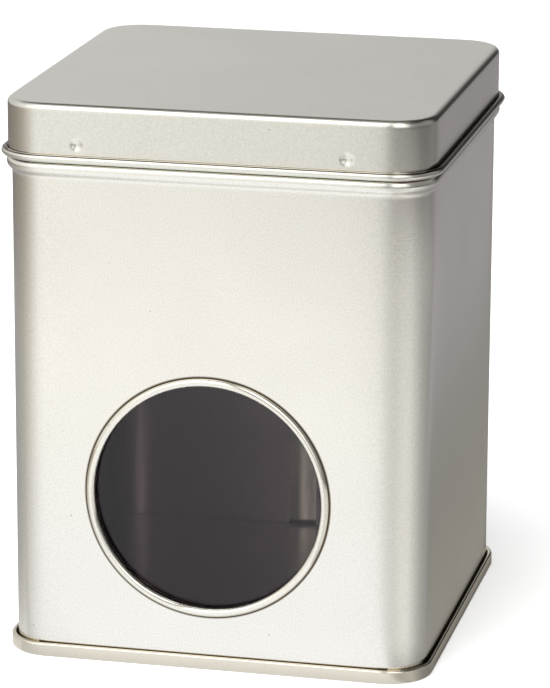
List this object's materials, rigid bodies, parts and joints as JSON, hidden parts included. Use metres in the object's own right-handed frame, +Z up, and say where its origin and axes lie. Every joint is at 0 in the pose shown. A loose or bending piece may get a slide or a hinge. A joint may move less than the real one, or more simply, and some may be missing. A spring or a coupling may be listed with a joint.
{
  "type": "window lid tin",
  "caption": "Square tinplate storage tin with rounded corners, a round clear window in its front wall and a plain slip lid that lifts off",
  "frame": {"origin": "middle of the base, on the table", "axes": "+Z up, the window's face looks along -Y, +X to the right as seen from the front"},
  "size_m": [0.1046, 0.1046, 0.134],
  "materials": {
    "body_tinplate": "satin warm silver tinplate",
    "base_tinplate": "satin warm silver tinplate",
    "lid_tinplate": "satin warm silver tinplate",
    "bezel_tinplate": "bright rolled tinplate",
    "clear_pane": "clear glossy sheet",
    "ring_tinplate": "satin tinplate"
  },
  "bodies": {
    "body": {"body_shell": "body_tinplate", "base_panel": "base_tinplate", "window_bezel": "bezel_tinplate", "window_pane": "clear_pane", "window_retaining_ring": "ring_tinplate"},
    "lid": {"lid": "lid_tinplate"}
  },
  "joints": [
    {"name": "lid_lift", "type": "slide", "parent": "body", "child": "lid", "axis": [0, 0, 1], "range_m": [0, 0.03]}
  ]
}
